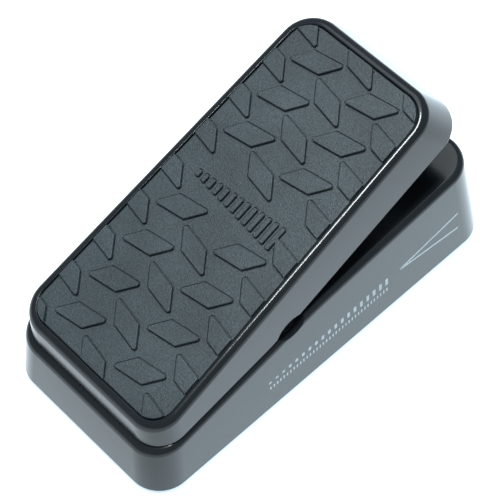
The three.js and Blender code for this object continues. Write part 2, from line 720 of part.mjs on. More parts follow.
// ------------------------------------------------------------ the electronics
function circuitBoard() {
  const sheet = box(-BOARD.halfX, BOARD.halfX, BOARD.heel, BOARD.toe, BOARD.z, boardTop);
  const holes = boardPosts.map((x) => (
    rod('z', SCREW.hole, BOARD.z - CUT, boardTop + CUT, [x, BOARD.postY, 0], SMALL_ROUND)
  ));
  return cutBy(sheet, ...holes);
}
add(group, 'circuit_board', circuitBoard(), BOARD_GREEN);

boardPosts.forEach((x, i) => {
  const { head, shank } = SMALL_SCREW;
  const solid = screw('z', BOARD.z - GAP, boardTop + BOARD.screw, head, shank, [x, BOARD.postY, 0]);
  add(group, `board_screw_${i + 1}`, solid, ZINC);
});

const CHIP = { halfX: 4.8, heel: 47, toe: 53.4, height: 3.6 };
const chip = box(-CHIP.halfX, CHIP.halfX, CHIP.heel, CHIP.toe, boardTop + GAP, boardTop + CHIP.height);
add(group, 'buffer_chip', chip, PLASTIC);

const CAPACITOR = { y: 37.5, radius: 3, height: 6.6, rim: 0.4 };
function filterCapacitor() {
  const { y, radius, height, rim } = CAPACITOR;
  const [low, high] = [boardTop + GAP, boardTop + height];
  const profile = [[0, low], [radius, low], [radius, high - rim], [radius - rim, high], [0, high]];
  return turned('z', profile, [0, y, 0], SMALL_ROUND);
}
add(group, 'filter_capacitor', filterCapacitor(), NYLON);

const SWITCH = {
  x: 8, y: 51, halfX: 4.4, halfY: 1.9, height: 3.2, roof: 0.8,
  slotX: 2.2, nub: 0.9, reach: 1.8, inside: 2, travel: 2,
};
function switchBody() {
  const top = BOARD.z - GAP;
  const { x, y, halfX, halfY, height, slotX, roof } = SWITCH;
  const slotY = SWITCH.nub + GAP / 2;
  const body = box(x - halfX, x + halfX, y - halfY, y + halfY, top - height, top);
  const slot = box(x - slotX, x + slotX, y - slotY, y + slotY, top - height - CUT, top - roof);
  return body.subtract(slot);
}
add(group, 'mode_switch_body', switchBody(), ZINC);
function switchSlider() {
  const bottom = BOARD.z - GAP - SWITCH.height;
  const { x, y, nub, slotX, travel, reach, inside } = SWITCH;
  const start = x - slotX + GAP / 2;
  const width = 2 * slotX - travel - GAP;
  return box(start, start + width, y - nub, y + nub, bottom - reach, bottom + inside);
}
add(group, 'mode_switch_slider', switchSlider(), WHITE_NYLON);

// ------------------------------------------------------------------ the jacks
const JACK_NAMES = ['input', 'aux', 'output'];
const FRAME = { half: 6, front: JACK.innerY - GAP, back: JACK.innerY - 6.5, insulator: 3 };

function jackSleeve(x) {
  const frame = box(
    x - FRAME.half, x + FRAME.half, FRAME.back, FRAME.front,
    JACK.z - FRAME.half, JACK.z + FRAME.half,
  );
  const tube = rod('y', JACK.thread, FRAME.front - CUT, JACK.faceY, [x, 0, JACK.z]);
  const bore = rod('y', JACK.bore, FRAME.back - CUT, BASE.length, [x, 0, JACK.z]);
  return frame.add(tube).subtract(bore);
}

// An insulator on top of the frame, holding a leaf that bends down behind it.
function jackContact(x) {
  const low = JACK.z + FRAME.half + GAP;
  const block = box(x - 4, x + 4, FRAME.back, FRAME.front - CUT, low, low + FRAME.insulator);
  const leaf = prism([
    [FRAME.back + CUT, low + 1.2], [FRAME.back + CUT, low + 1.8], [FRAME.back - 12, low + 1.2],
    [FRAME.back - 17, low - 2.6], [FRAME.back - 19, low - 1.4], [FRAME.back - 19, low - 2.1],
    [FRAME.back - 17, low - 3.4], [FRAME.back - 12, low + 0.5],
  ], x - 2, x + 2);
  return block.add(leaf);
}

function jackNut(x) {
  const start = JACK.panelY + GAP;
  const washer = rod('y', JACK.washer, start, start + 0.8, [x, 0, JACK.z]);
  const nut = hexagon('y', JACK.nutFlats, start + 0.7, start + 3.2, [x, 0, JACK.z]);
  return washer.add(nut).subtract(rod('y', JACK.thread + GAP, 0, BASE.length, [x, 0, JACK.z]));
}
JACK_NAMES.forEach((name, i) => {
  add(group, `jack_${name}_sleeve`, jackSleeve(jackX[i]), ZINC);
  add(group, `jack_${name}_contact`, jackContact(jackX[i]), NYLON);
  add(group, `jack_${name}_nut`, jackNut(jackX[i]), ZINC);
});

// ------------------------------------------------------------------ the wires
function wire(points) {
  const path = new THREE.CatmullRomCurve3(points.map((p) => new THREE.Vector3(...p)));
  const circle = new THREE.Shape();
  circle.absarc(0, 0, WIRE.radius, 0, 2 * PI);
  const options = { steps: WIRE.steps, curveSegments: 4, extrudePath: path };
  return solidOf(new THREE.ExtrudeGeometry(circle, options));
}

potLugs.forEach((z, i) => {
  const lugEnd = POT.y + POT.lugReach;
  const padX = -21 + 3 * i;
  const potWire = wire([
    [POT.lug, lugEnd + GAP, z], [POT.lug, lugEnd + 1.3, z], [POT.lug, lugEnd + 2.6, z + 1.6],
    [padX, lugEnd + 6.5, POT.z + 2 * i], [padX, lugEnd + 8.5, boardTop + 3],
    [padX, lugEnd + 8.8, boardTop + GAP],
  ]);
  add(group, `pot_wire_${i + 1}`, potWire, [NYLON, RED, WHITE_NYLON][i]);
});

jackX.forEach((x, i) => {
  const leafTop = JACK.z + FRAME.half + GAP + FRAME.insulator;
  const y = FRAME.back + 2;
  const reach = BOARD.toe - 4;
  const aside = x > 0 ? x - 8 : x + 8;
  const jackWire = wire([
    [x, y, leafTop + GAP], [x, y - 2, leafTop + 3], [aside, y - 5, leafTop + 2],
    [aside, reach + 1, boardTop + 8], [aside, reach, boardTop + 4], [aside, reach, boardTop + GAP],
  ]);
  add(group, `jack_wire_${i + 1}`, jackWire, [RED, NYLON, WHITE_NYLON][i]);
});

export default group;
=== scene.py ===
"""Looks for a small volume pedal: camera, light, floor, and the pieces that stand for its CAD nodes.

Lengths in this script are millimetres, turned into metres where a mesh or the camera is made. The
lights and the edges of the floor's glow are in metres, and noise scales count cells to a metre.
The treadle's pieces are drawn in its own frame: origin on the pivot, Z square to the mat.
"""
import json
import math

import bmesh
import bpy
from mathutils import Matrix, Vector


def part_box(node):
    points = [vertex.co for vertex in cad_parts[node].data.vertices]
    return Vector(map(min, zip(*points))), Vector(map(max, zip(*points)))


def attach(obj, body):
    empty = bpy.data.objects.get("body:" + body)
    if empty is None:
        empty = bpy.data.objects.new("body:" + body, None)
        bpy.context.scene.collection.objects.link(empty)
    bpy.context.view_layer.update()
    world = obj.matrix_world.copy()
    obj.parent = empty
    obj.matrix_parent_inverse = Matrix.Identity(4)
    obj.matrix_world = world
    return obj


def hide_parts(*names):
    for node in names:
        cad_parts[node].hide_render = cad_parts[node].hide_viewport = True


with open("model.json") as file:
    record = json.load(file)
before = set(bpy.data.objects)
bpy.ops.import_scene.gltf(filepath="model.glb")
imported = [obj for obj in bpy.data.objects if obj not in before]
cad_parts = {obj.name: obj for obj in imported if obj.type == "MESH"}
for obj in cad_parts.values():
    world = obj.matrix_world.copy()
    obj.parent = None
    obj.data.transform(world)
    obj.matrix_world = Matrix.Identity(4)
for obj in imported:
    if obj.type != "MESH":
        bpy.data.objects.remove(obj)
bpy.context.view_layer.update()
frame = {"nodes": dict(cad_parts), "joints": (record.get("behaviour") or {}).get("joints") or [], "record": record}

MM = 0.001
rad = math.radians

# ------------------------------------------------------------------ dimensions
ARC_STEPS = 14                   # spans in a quarter turn of an outline
FILLET_STEPS = 6                 # spans across a rounded edge
EDGE_STEPS = 3                   # spans across a small rounded edge
LATHE_STEPS = 72                 # spans round a turned piece
SCREW_STEPS = 40                 # spans round a screw or its hole
NOTCH_STEPS = 96                 # spans round the opening at the pivot
HOLD = 0.06                      # width of the band that keeps a face flat beside its fillet
WELD = 1e-4                      # points closer than this are one
LEAST_CORNER = 0.5               # smallest radius of an outline's corner
BEYOND = 1                       # how far a cutter runs past the face it opens
SMOOTH = 40                      # faces at less than this many degrees shade as one surface
SOFT_SMOOTH = 50                 # the same on moulded and domed pieces
THREAD_SMOOTH = 35               # the same on threaded pieces
CREASE = rad(30)                 # an edge that folds more than this can be rounded

base_low, base_high = (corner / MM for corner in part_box("base_housing"))
BASE = {
    "half": base_high.x, "heel": base_low.y, "toe": base_high.y, "floor": base_low.z, "corner": 11.5,
    "wall": 2.6, "kink_y": -4.0, "heel_top": 22.1, "kink_top": 36.3, "toe_top": 44.1, "bend": 5.0,
    "fillet": 2.2, "foot_edge": 0.6, "side_draft": rad(4.2), "heel_draft": rad(7.1),
    "toe_draft": rad(8.4), "inner_toe": 68.4,
}
hinge = next(j for j in frame["joints"] if j["name"] == "treadle_pivot")
pivot = Vector(hinge["pos_m"]) / MM
TILT = rad(20.6)
TRAVEL = rad(hinge["range_deg"][1])
NOTCH = {
    "pocket": 6.2, "wall": 31.7, "radius": 7.8, "middle": 1.35, "shift": 4.25, "lean": rad(11),
    "base_inside": 24.4, "treadle_inside": 29.55, "overlap": 0.2,
    "edge": 0.4, "edge_band": 0.12, "edge_x": 31,
}
TREADLE = {
    "crest": 20.8, "heel": -52.3, "toe": 78.5, "half_heel": 31.7, "half_toe": 27.6, "edge": 1.7,
    "corner": 11.0, "wall": 2.4, "plate": 2.4, "side_draft": rad(4.7), "heel_draft": rad(21.5),
    "toe_draft": rad(15.7), "heel_gap": 0.8, "toe_gap": 1.1, "rim_fillet": 2.2, "inner_fillet": 0.4,
    "lip": 0.5, "bend": 3.0,
}
MAT = {
    "inset": 1.25, "recess": 2.4, "gap": 0.2, "thick": 1.8, "fillet": 0.4, "pad_margin": 0.12,
    "pad_root": 0.75, "moat": 0.46, "moat_depth": 0.60, "moat_margin": 0.3,
    "least_step": 0.06,
}
LOZENGE = {
    "rows": 8, "row": 15.54, "first_row": 67.45, "heel_pitch": 14.24, "toe_pitch": 12.0,
    "shift": -0.55, "rise": 1.05, "round": 0.7, "edge": 0.28,
}
JACKS = ("input", "aux", "output")
SCREWS = [n for n in frame["nodes"] if n.startswith("plate_screw")]
in_treadle = Matrix.Translation(pivot * MM) @ Matrix.Rotation(TILT, 4, "X")


# ------------------------------------------------------------------- materials
class Nodes:
    """A small wrapper that makes and joins the nodes of one material."""

    def __init__(self, name):
        self.material = bpy.data.materials.new(name)
        self.material.use_nodes = True
        self.tree = self.material.node_tree
        self.shader = self.tree.nodes["Principled BSDF"]
        self.place = self.tree.nodes.new("ShaderNodeTexCoord").outputs["Object"]

    def link(self, output, socket):
        self.tree.links.new(output, socket)

    def set(self, **values):
        for socket, value in values.items():
            self.shader.inputs[socket.replace("_", " ")].default_value = value

    def noise(self, scale, detail=2.0, stretch=None):
        node = self.tree.nodes.new("ShaderNodeTexNoise")
        node.inputs["Scale"].default_value = scale
        node.inputs["Detail"].default_value = detail
        place = self.place
        if stretch:
            mapping = self.tree.nodes.new("ShaderNodeMapping")
            mapping.inputs["Scale"].default_value = stretch
            self.link(place, mapping.inputs["Vector"])
            place = mapping.outputs["Vector"]
        self.link(place, node.inputs["Vector"])
        return node.outputs["Fac"]

    def cells(self, scale):
        node = self.tree.nodes.new("ShaderNodeTexVoronoi")
        node.inputs["Scale"].default_value = scale
        self.link(self.place, node.inputs["Vector"])
        return node.outputs["Distance"]

    def ramp(self, factor, stops):
        node = self.tree.nodes.new("ShaderNodeValToRGB")
        elements = node.color_ramp.elements
        for element, (at, colour) in zip(elements, (stops[0], stops[-1])):
            element.position = at
            element.color = (*colour, 1)
        for at, colour in stops[1:-1]:
            elements.new(at).color = (*colour, 1)
        self.link(factor, node.inputs["Fac"])
        return node.outputs["Color"]

    def span(self, value, low, high, from_low=0.3, from_high=0.7):
        node = self.tree.nodes.new("ShaderNodeMapRange")
        sockets = ("From Min", "From Max", "To Min", "To Max")
        for socket, number in zip(sockets, (from_low, from_high, low, high)):
            node.inputs[socket].default_value = number
        self.link(value, node.inputs["Value"])
        return node.outputs["Result"]

    def calc(self, operation, *values):
        node = self.tree.nodes.new("ShaderNodeMath")
        node.operation = operation
        for value, socket in zip(values, node.inputs):
            self.link(value, socket)
        return node.outputs["Value"]

    def product(self, first, second):
        node = self.tree.nodes.new("ShaderNodeMix")
        node.data_type = "RGBA"
        node.blend_type = "MULTIPLY"
        node.inputs["Factor"].default_value = 1.0
        colours = [i for i in node.inputs if i.type == "RGBA"]
        self.link(first, colours[0])
        self.link(second, colours[1])
        return next(o for o in node.outputs if o.type == "RGBA")

    def bump(self, layers):
        """layers: [(height output, depth in millimetres)], added one on another."""
        normal = None
        for height, depth in layers:
            node = self.tree.nodes.new("ShaderNodeBump")
            node.inputs["Strength"].default_value = 1.0
            node.inputs["Distance"].default_value = depth * MM
            self.link(height, node.inputs["Height"])
            if normal:
                self.link(normal, node.inputs["Normal"])
            normal = node.outputs["Normal"]
        self.link(normal, self.shader.inputs["Normal"])


def tones(colour, spread):
    """A darker and a lighter version of a colour."""
    return [tuple(c * (1 + s * spread) for c in colour) for s in (-1, 1)]


def surface(name, colour, roughness, metallic=0.0, spread=0.15, patches=60, grain=1500, depth=0.004,
            stretch=None, **sockets):
    """Colour that varies in soft patches, roughness that varies with it, and a fine grained surface."""
    nodes = Nodes(name)
    dark, light = tones(colour, spread)
    soft = nodes.noise(patches, detail=4)
    fine = nodes.noise(grain, detail=3, stretch=stretch)
    nodes.link(nodes.ramp(soft, [(0.3, dark), (0.7, light)]), nodes.shader.inputs["Base Color"])
    nodes.link(nodes.span(fine, roughness * 0.85, roughness * 1.15), nodes.shader.inputs["Roughness"])
    nodes.set(Metallic=metallic, **sockets)
    nodes.bump([(fine, depth)])
    return nodes.material


def enamel():
    """Dark semi-gloss enamel: faint patches, orange peel a millimetre or two across, and fine grit."""
    nodes = Nodes("enamel")
    soft = nodes.noise(35, detail=5)
    peel = nodes.noise(473, detail=2)
    grit = nodes.noise(3130, detail=1)
    colour = nodes.ramp(soft, [(0.3, (0.0110, 0.0135, 0.0165)), (0.7, (0.0155, 0.0190, 0.0225))])
    nodes.link(colour, nodes.shader.inputs["Base Color"])
    nodes.link(nodes.span(soft, 0.14, 0.19), nodes.shader.inputs["Roughness"])
    nodes.set(IOR=1.44)
    nodes.bump([(peel, 0.014), (grit, 0.0016)])
    return nodes.material


def mat_rubber():
    """Moulded rubber: matt, with a pebbled skin and dull patches."""
    nodes = Nodes("mat_rubber")
    soft = nodes.noise(45, detail=5)
    pebbles = nodes.noise(2100, detail=3)
    skin = nodes.cells(2600)
    grit = nodes.noise(4200, detail=3)
    tint = nodes.ramp(soft, [(0.28, (0.034, 0.051, 0.058)), (0.72, (0.060, 0.086, 0.096))])
    speckle = nodes.ramp(pebbles, [(0.32, (0.40, 0.40, 0.40)), (0.68, (1.0, 1.0, 1.0))])
    nodes.link(nodes.product(tint, speckle), nodes.shader.inputs["Base Color"])
    nodes.link(nodes.span(pebbles, 0.62, 0.38), nodes.shader.inputs["Roughness"])
    nodes.set(IOR=1.5)
    nodes.bump([(pebbles, 0.130), (skin, 0.040), (grit, 0.012)])
    return nodes.material


ENAMEL = enamel()
MAT_RUBBER = mat_rubber()
BLACK_RUBBER = surface("black_rubber", (0.018, 0.018, 0.019), 0.62, grain=2400, depth=0.012)
BLACK_STEEL = surface("black_steel", (0.016, 0.016, 0.018), 0.42, grain=1900, depth=0.006)
BRIGHT_STEEL = surface("bright_steel", (0.56, 0.57, 0.59), 0.28, 1.0, 0.08, 90, 1200, 0.001, (1, 12, 1))
ZINC = surface("zinc_plate", (0.55, 0.57, 0.60), 0.30, 1.0, 0.12, 240, 900, 0.002)
NICKEL = surface("nickel_plate", (0.66, 0.64, 0.60), 0.18, 1.0, 0.06, 200, 700, 0.001)
NYLON = surface("black_nylon", (0.006, 0.006, 0.007), 0.16, grain=700, depth=0.003)
BRONZE = surface("sintered_bronze", (0.44, 0.27, 0.12), 0.45, 1.0, 0.18, 700, 3600, 0.006)
BRASS = surface("turned_brass", (0.66, 0.49, 0.20), 0.24, 1.0, 0.08, 160, 2600, 0.002, (14, 1, 1))
BARE_ALUMINIUM = surface("machined_aluminium", (0.62, 0.63, 0.64), 0.34, 1.0, 0.08, 120, 1500, 0.002,
                         (14, 1, 1))
BOARD_GREEN = surface("solder_resist", (0.012, 0.105, 0.048), 0.30, spread=0.25, patches=420, depth=0.003)
WIRE_BLACK = surface("black_insulation", (0.016, 0.016, 0.016), 0.38, grain=1400, depth=0.004)
WIRE_RED = surface("red_insulation", (0.36, 0.018, 0.012), 0.38, grain=1400, depth=0.004)
WHITE_PLASTIC = surface("white_plastic", (0.68, 0.67, 0.62), 0.40, grain=1400, depth=0.004)
PRINT = surface("printed_ink", (0.42, 0.48, 0.50), 0.55, spread=0.10, patches=900, grain=3000, depth=0.004)

BY_SLOT = {
    "painted_casting": ENAMEL, "mat_rubber": MAT_RUBBER, "black_rubber": BLACK_RUBBER,
    "black_steel": BLACK_STEEL, "steel": BRIGHT_STEEL, "zinc_plate": ZINC, "nickel": NICKEL,
    "black_nylon": NYLON, "bronze": BRONZE, "brass": BRASS, "bare_aluminium": BARE_ALUMINIUM,
    "board_green": BOARD_GREEN, "wire_black": WIRE_BLACK, "wire_red": WIRE_RED, "wire_white": WHITE_PLASTIC,
}
SLOT_OF = {part["node"]: part["material_slot"] for part in frame["record"]["subparts"]}


# ---------------------------------------------------------------- mesh helpers
def finished(bm, name, place=None, smooth=SMOOTH):
    """Turns a bmesh in millimetres into an object in metres, smooth up to an angle in degrees."""
    bmesh.ops.remove_doubles(bm, verts=bm.verts, dist=WELD)
    bmesh.ops.recalc_face_normals(bm, faces=bm.faces)
    mesh = bpy.data.meshes.new(name)
    bm.to_mesh(mesh)
    bm.free()
    mesh.transform((place or Matrix.Identity(4)) @ Matrix.Scale(MM, 4))
    mesh.shade_smooth()
    mesh.set_sharp_from_angle(angle=rad(smooth))
    piece = bpy.data.objects.new(name, mesh)
    bpy.context.scene.collection.objects.link(piece)
    return piece


def dress(piece, material, body, *nodes, slot=None):
    """Gives a piece its material and body, and hides the CAD nodes it stands for; slot is not used."""
    piece.data.materials.clear()
    piece.data.materials.append(material)
    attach(piece, body)
    if nodes:
        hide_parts(*nodes)
    return piece


def weigh(piece):
    """Keeps flat faces looking flat beside their fillets."""
    modifier = piece.modifiers.new("flat_faces", "WEIGHTED_NORMAL")
    modifier.keep_sharp = True
    modifier.weight = 100
    return piece


def skin(bm, loops):
    """Joins loops of equal length, one after another, with bands of four-sided faces."""
    rows = [[bm.verts.new(point) for point in loop] for loop in loops]
    for first, second in zip(rows, rows[1:]):
        for i in range(len(first)):
            j = (i + 1) % len(first)
            bm.faces.new((first[i], first[j], second[j], second[i]))
    return rows


def close_across(bm, row):
    """Fills a loop whose second half mirrors its first with faces that run from side to side."""
    half = len(row) // 2
    for i in range(half - 1):
        bm.faces.new((row[i], row[i + 1], row[-2 - i], row[-1 - i]))


def skin_across(bm, loops):
    """Joins mirrored loops one after another and closes both ends."""
    rows = skin(bm, loops)
    close_across(bm, rows[0])
    close_across(bm, rows[-1])


def prism(bm, loops):
    """Joins loops one after another and closes both ends with one face each."""
    rows = skin(bm, loops)
    bm.faces.new(reversed(rows[0]))
    bm.faces.new(rows[-1])


def mirrored_loop(right):
    """A closed loop from its right half, listed from heel to toe."""
    left = [Vector((-p.x, p.y, p.z)) for p in reversed(right)]
    return right + left


def arc(start, end, steps):
    return [start + (end - start) * i / steps for i in range(steps + 1)]


def carve(piece, cutter, operation="DIFFERENCE", crossing=False):
    """Cuts or joins a piece with another, which is then thrown away."""
    modifier = piece.modifiers.new("carve", "BOOLEAN")
    modifier.use_self = crossing
    modifier.operation = operation
    modifier.solver = "EXACT"
    modifier.object = cutter
    bpy.context.view_layer.update()
    depsgraph = bpy.context.evaluated_depsgraph_get()
    mesh = bpy.data.meshes.new_from_object(piece.evaluated_get(depsgraph))
    piece.modifiers.remove(modifier)
    old = piece.data
    piece.data = mesh
    bpy.data.meshes.remove(old)
    bpy.data.objects.remove(cutter)
    return piece


def soften(piece, chosen, width):
    """Rounds the sharp edges of a piece that chosen(middle in millimetres) picks."""
    bm = bmesh.new()
    bm.from_mesh(piece.data)
    bmesh.ops.dissolve_degenerate(bm, dist=WELD * MM, edges=bm.edges)
    edges = [
        e for e in bm.edges
        if len(e.link_faces) == 2 and e.calc_face_angle() > CREASE
        and chosen((e.verts[0].co + e.verts[1].co) / 2 / MM)
    ]
    bmesh.ops.bevel(
        bm, geom=edges, offset=width * MM, offset_type="OFFSET", segments=EDGE_STEPS, profile=0.5,
        affect="EDGES", clamp_overlap=True,
    )
    bm.to_mesh(piece.data)
    bm.free()
    piece.data.shade_smooth()
    piece.data.set_sharp_from_angle(angle=rad(SMOOTH))
    return piece


AXIS_TURN = {
    "x": Matrix.Rotation(math.pi / 2, 4, "Y"),
    "y": Matrix.Rotation(-math.pi / 2, 4, "X"),
    "z": Matrix.Identity(4),
}


def lathe(name, axis, profile, at, place=None, steps=LATHE_STEPS, smooth=SMOOTH):
    """A turned piece: profile is [radius, height] pairs that start and end on the axis, or close."""
    bm = bmesh.new()
    turn = Matrix.Translation(Vector(at)) @ AXIS_TURN[axis]
    loops = []
    for radius, height in profile:
        angles = [2 * math.pi * i / steps for i in range(steps)]
        loops.append([turn @ Vector((radius * math.cos(a), radius * math.sin(a), height)) for a in angles])
    skin(bm, loops)
    bmesh.ops.remove_doubles(bm, verts=bm.verts, dist=WELD)
    bmesh.ops.dissolve_degenerate(bm, dist=WELD / 10, edges=bm.edges)
    return finished(bm, name, place, smooth)


def block(name, low_corner, high_corner):
    bm = bmesh.new()
    size = Vector(high_corner) - Vector(low_corner)
    middle = (Vector(high_corner) + Vector(low_corner)) / 2
    bmesh.ops.create_cube(bm, size=1, matrix=Matrix.Translation(middle) @ Matrix.Diagonal((*size, 1)))
    return finished(bm, name)


def cylinder(name, axis, radius, start, end, at, steps=LATHE_STEPS):
    return lathe(name, axis, [(0, start), (radius, start), (radius, end), (0, end)], at, steps=steps)


def rounded(points, radius, steps=5):
    """A convex outline, anticlockwise, with each corner turned into an arc."""
    result = []
    for i, corner in enumerate(points):
        before = (points[i - 1] - corner).normalized()
        after = (points[(i + 1) % len(points)] - corner).normalized()
        half = before.angle(after) / 2
        reach = radius / math.tan(half)
        middle = corner + (before + after).normalized() * radius / math.sin(half)
        start = corner + before * reach - middle
        turn = math.pi - 2 * half
        for k in range(steps + 1):
            result.append(middle + Matrix.Rotation(turn * k / steps, 2) @ start)
    return result


def bar(x, y, half_x, half_y, corner):
    """A rectangle with round corners."""
    corners = ((x - half_x, y - half_y), (x + half_x, y - half_y),
               (x + half_x, y + half_y), (x - half_x, y + half_y))
    return rounded([Vector(p) for p in corners], corner)


def centre(node):
    low_corner, high_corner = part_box(node)
    return (low_corner + high_corner) / 2 / MM


def span_of(node, axis):
    low_corner, high_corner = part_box(node)
    i = "xyz".index(axis)
    return low_corner[i] / MM, high_corner[i] / MM


# --------------------------------------------------- outlines of the two castings
def soft_kink(y, at, before, after, reach):
    """A line that turns from one slope to another, with a short curve at the turn: its rise from there."""
    t = min(max((y - at) / reach, -1.0), 1.0)
    outside = (y - at) - t * reach
    bend = reach * ((before + after) / 2 * t + (after - before) / 4 * (t * t + 1))
    return bend + (after if outside > 0 else before) * outside


BASE_SLOPES = (
    (BASE["kink_top"] - BASE["heel_top"]) / (BASE["kink_y"] - BASE["heel"]),
    (BASE["toe_top"] - BASE["kink_top"]) / (BASE["toe"] - BASE["kink_y"]),
)


def base_top(y):
    return BASE["kink_top"] + soft_kink(y, BASE["kink_y"], *BASE_SLOPES, BASE["bend"])


def base_spread(z):
    """Heel end, toe end and half width of the base's outside at a height."""
    height = z - BASE["floor"]
    half = BASE["half"] - height * math.tan(BASE["side_draft"])
    heel = BASE["heel"] + height * math.tan(BASE["heel_draft"])
    toe = BASE["toe"] - height * math.tan(BASE["toe_draft"])
    return heel, toe, lambda y: half


def treadle_spread(z):
    """The same for the treadle, in its own frame: it narrows from the heel to the toe."""
    depth = TREADLE["crest"] - z
    heel = TREADLE["heel"] - TREADLE["edge"] - depth * math.tan(TREADLE["heel_draft"])
    toe = TREADLE["toe"] + TREADLE["edge"] + depth * math.tan(TREADLE["toe_draft"])
    flare = TREADLE["edge"] + depth * math.tan(TREADLE["side_draft"])

    def half(y):
        along = (y - heel) / (toe - heel)
        return flare + TREADLE["half_heel"] + (TREADLE["half_toe"] - TREADLE["half_heel"]) * along

    return heel, toe, half


def outline(spread, height, inset, corner, stations, toe=None):
    """One loop of a casting: height(y) is its Z, inset is how far it lies inside the outer face.

    The ends depend on the height there, and the height on the ends, so they are found in a few rounds.
    """
    ends = [spread(height(0)), spread(height(0))]
    for _ in range(3):
        ends = [spread(height(ends[0][0])), spread(height(ends[1][1]))]
    heel_end = ends[0][0] + inset
    toe_end = ends[1][1] - inset if toe is None else toe
    radius = max(corner - inset, LEAST_CORNER)
    turns = arc(0, math.pi / 2, ARC_STEPS)
    places = [(heel_end + radius * (1 - math.cos(t)), radius * (1 - math.sin(t))) for t in turns]
    places += [(y, 0.0) for y in stations]
    places += [(toe_end - radius * (1 - math.cos(t)), radius * (1 - math.sin(t))) for t in reversed(turns)]
    right = []
    for y, narrow in places:
        z = height(y)
        half = spread(z)[2](y) - inset - narrow
        right.append(Vector((half, y, z)))
    return mirrored_loop(right)


def fillet(radius, steps=FILLET_STEPS):
    """(inset, drop) pairs round a convex edge, from the top face to the side face."""
    pairs = [(radius + HOLD, 0.0)]
    for turn in arc(math.pi / 2, 0, steps):
        pairs.append((radius * (1 - math.cos(turn)), radius * (1 - math.sin(turn))))
    return pairs + [(0.0, radius + HOLD)]


# --------------------------------------------------------------- the base casting
BASE_STATIONS = range(-58, 57, 3)    # where the long sides have points, from heel to toe
JACK_X = [centre(f"jack_{name}_sleeve").x for name in JACKS]
JACK_Z = centre("jack_aux_nut").z
PANEL = {
    "half_x": 33.0, "half_z": 8.5, "y": 71.2, "corner": 2.5, "edge": 0.5, "hole": 5.0, "hole_span": (66, 80),
}
PANEL_MOUTH = {"from_y": 72.5, "low": 10, "high": 31, "half": 34}    # holds the edges of the recess's mouth
POST = {"inner": 18.5, "outer": 23.5, "half": 6.5, "drop": 9.7, "bush": 4.9}
CHANNEL = {"radius": 4.2, "half": 24.6}
WINDOWS = [((-4.2, -6.0), (4.2, 17.0)), ((-30.0, -22.2), (-24.4, -5.8)), ((24.4, -22.2), (30.0, -5.8))]
WINDOW_FLOOR = 24


def base_body():
    wall, edge, bottom = BASE["wall"], BASE["foot_edge"], BASE["floor"]
    corner = BASE["corner"]

    def loop(height, inset, toe=None):
        return outline(base_spread, height, inset, corner, BASE_STATIONS, toe)

    loops = [loop(lambda y, d=drop: base_top(y) - d, inset) for inset, drop in fillet(BASE["fillet"])]
    for inset, rise in reversed(fillet(edge, EDGE_STEPS)):
        loops.append(loop(lambda y, r=rise: bottom + r, inset))
    inner = BASE["inner_toe"]
    loops.append(loop(lambda y: bottom, wall, inner))
    loops.append(loop(lambda y: base_top(y) - wall, wall, inner))
    bm = bmesh.new()
    skin_across(bm, loops)
    return finished(bm, "base_casting")


def panel_cutter():
    """The recess at the toe end, a block with rounded corners."""
    shape = bar(0, JACK_Z, PANEL["half_x"], PANEL["half_z"], PANEL["corner"])
    bm = bmesh.new()
    prism(bm, [[Vector((p.x, y, p.y)) for p in shape] for y in (PANEL["y"], BASE["toe"] + BEYOND)])
    return finished(bm, "panel_cutter")


def notch(piece, way, inside):
    """Cuts half of the lens-shaped opening at the pivot: way is 1 in the base and -1 in the treadle."""
    shift = NOTCH["middle"] + way * NOTCH["shift"]
    at = pivot + Vector((0, -shift * math.sin(NOTCH["lean"]), shift * math.cos(NOTCH["lean"])))
    for side in (-1, 1):
        start, end = sorted((side * inside, side * NOTCH["wall"]))
        carve(piece, cylinder("pocket_cutter", "x", NOTCH["pocket"], start, end, pivot, NOTCH_STEPS))
        start, end = sorted((side * (NOTCH["wall"] - NOTCH["overlap"]), side * (BASE["half"] + BEYOND)))
        carve(piece, cylinder("notch_cutter", "x", NOTCH["radius"], start, end, at, NOTCH_STEPS))

    def on_edge(middle):
        off = math.hypot(middle.y - at.y, middle.z - at.z) - NOTCH["radius"]
        return abs(off) < NOTCH["edge_band"] and abs(middle.x) > NOTCH["edge_x"]

    soften(piece, on_edge, NOTCH["edge"])


def on_panel(middle):
    inside = middle.y > PANEL_MOUTH["from_y"] and abs(middle.x) < PANEL_MOUTH["half"]
    return inside and PANEL_MOUTH["low"] < middle.z < PANEL_MOUTH["high"]


def base_casting():
    piece = base_body()
    notch(piece, 1, NOTCH["base_inside"])
    for (x0, y0), (x1, y1) in WINDOWS:
        carve(piece, block("window_cutter", (x0, y0, WINDOW_FLOOR), (x1, y1, base_top(y1) + BEYOND)))
    reach = CHANNEL["half"]
    carve(piece, cylinder("channel_cutter", "x", CHANNEL["radius"], -reach, reach, pivot))
    carve(piece, panel_cutter())
    for x in JACK_X:
        carve(piece, cylinder("jack_cutter", "y", PANEL["hole"], *PANEL["hole_span"], (x, 0, JACK_Z)))
    for side in (-1, 1):
        start, end = sorted((side * POST["inner"], side * POST["outer"]))
        post = cylinder("pivot_post", "x", POST["half"], start, end, pivot)
        foot = (start, pivot.y - POST["half"], pivot.z - POST["drop"])
        carve(post, block("post_stem", foot, (end, pivot.y + POST["half"], pivot.z)), "UNION")
        carve(piece, post, "UNION")
        carve(piece, cylinder("bush_cutter", "x", POST["bush"], start - BEYOND, end + BEYOND, pivot))
    soften(piece, on_panel, PANEL["edge"])
    weigh(dress(piece, ENAMEL, "base", "base_housing"))


# ------------------------------------------------------------ the treadle casting
TREADLE_STATIONS = range(-41, 68, 3)


def into_treadle(y, z, tilt):
    """A point of the side view, in the frame of the treadle at a tilt."""
    dy, dz = y - pivot.y, z - pivot.z
    return dy * math.cos(tilt) + dz * math.sin(tilt), dz * math.cos(tilt) - dy * math.sin(tilt)


